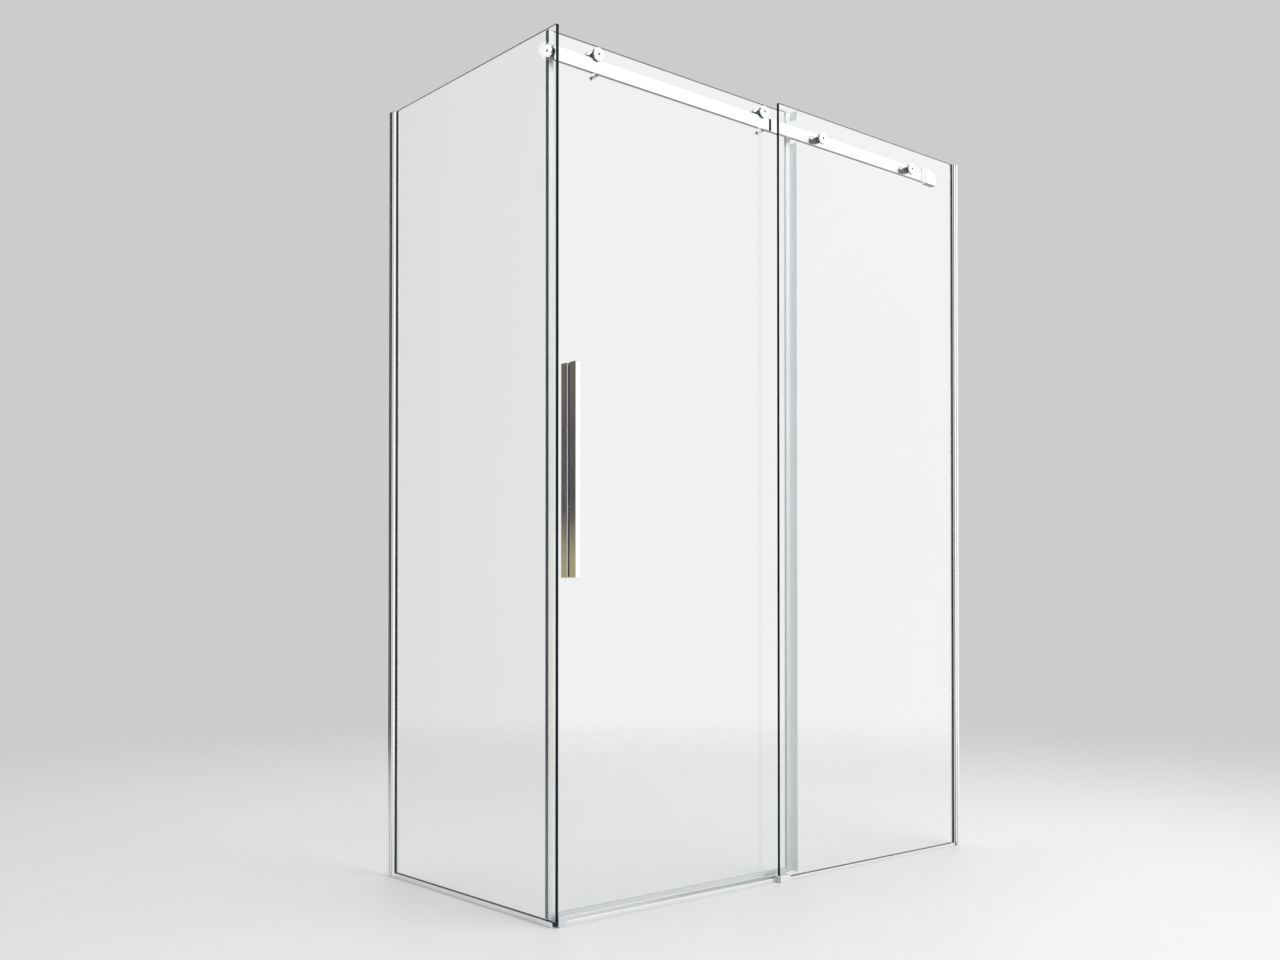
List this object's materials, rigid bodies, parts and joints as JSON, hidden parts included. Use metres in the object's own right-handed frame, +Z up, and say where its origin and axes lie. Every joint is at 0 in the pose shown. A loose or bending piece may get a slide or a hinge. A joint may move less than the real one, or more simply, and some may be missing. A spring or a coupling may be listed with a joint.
{
  "type": "shower enclosure",
  "caption": "Corner shower enclosure of clear glass: side panel, fixed front panel and a sliding door on a top rail, with wall profiles, seals and pull handle.",
  "frame": {"origin": "Bottom centre of the whole enclosure, on the floor.", "axes": "+Z up. +X along the front from the glass corner to the right wall, +Y from the front inwards to the left wall profile."},
  "size_m": [1.48, 0.727, 2],
  "materials": {
    "clear_glass": "clear toughened glass with a blue-green edge",
    "polished_chrome": "bright polished chrome plate",
    "bright_aluminium": "bright polished and anodised aluminium",
    "clear_seal": "clear flexible seal plastic",
    "clear_washer": "clear hard plastic",
    "grey_block": "translucent grey moulding",
    "dark_fork": "dark grey moulding",
    "gasket_rubber": "dark grey glazing rubber",
    "plain_steel": "plain stainless steel",
    "grey_cap": "light grey plastic"
  },
  "bodies": {
    "frame": {"side_panel_glass": "clear_glass", "fixed_panel_glass": "clear_glass", "side_floor_profile": "bright_aluminium", "side_floor_gasket": "gasket_rubber", "fixed_floor_profile": "bright_aluminium", "fixed_floor_gasket": "gasket_rubber", "threshold_profile": "bright_aluminium", "threshold_corner_block": "grey_block", "guide_block": "polished_chrome", "guide_fork": "dark_fork", "rail": "polished_chrome", "rail_bolts": "polished_chrome", "rail_bolt_sleeves": "clear_washer", "rail_spacers": "polished_chrome", "rail_end_stop": "polished_chrome", "end_stop_buffer": "clear_seal", "left_wall_channel": "bright_aluminium", "left_glass_profile": "bright_aluminium", "left_glass_gasket": "gasket_rubber", "left_clamp_screws": "plain_steel", "left_top_cap": "grey_cap", "right_wall_channel": "bright_aluminium", "right_glass_profile": "bright_aluminium", "right_glass_gasket": "gasket_rubber", "right_clamp_screws": "plain_steel", "right_top_cap": "grey_cap"},
    "door": {"door_glass": "clear_glass", "door_leading_seal": "clear_seal", "door_trailing_seal": "clear_seal", "door_bottom_seal": "clear_seal", "handle_outer": "polished_chrome", "handle_inner": "polished_chrome", "handle_studs": "plain_steel", "handle_pads": "clear_washer", "roller_axles": "polished_chrome", "roller_spacers": "polished_chrome", "roller_sleeves": "clear_washer", "roller_nuts": "polished_chrome", "antijump_pins": "polished_chrome"},
    "left_wheel": {"left_wheel": "polished_chrome", "left_wheel_bearing": "plain_steel"},
    "right_wheel": {"right_wheel": "polished_chrome", "right_wheel_bearing": "plain_steel"}
  },
  "joints": [
    {"name": "door_slide", "type": "slide", "parent": "frame", "child": "door", "axis": [1, 0, 0], "range_m": [0, 0.638]},
    {"name": "left_wheel_spin", "type": "hinge", "parent": "door", "child": "left_wheel", "pos_m": [-0.6009, -0.3275, 1.9703], "axis": [0, 1, 0], "continuous": true},
    {"name": "right_wheel_spin", "type": "hinge", "parent": "door", "child": "right_wheel", "pos_m": [-0.0557, -0.3275, 1.9703], "axis": [0, 1, 0], "continuous": true}
  ],
  "couplings": [
    {"joint": "left_wheel_spin", "follows": "door_slide", "rad_per_m": 100},
    {"joint": "right_wheel_spin", "follows": "door_slide", "rad_per_m": 100}
  ]
}
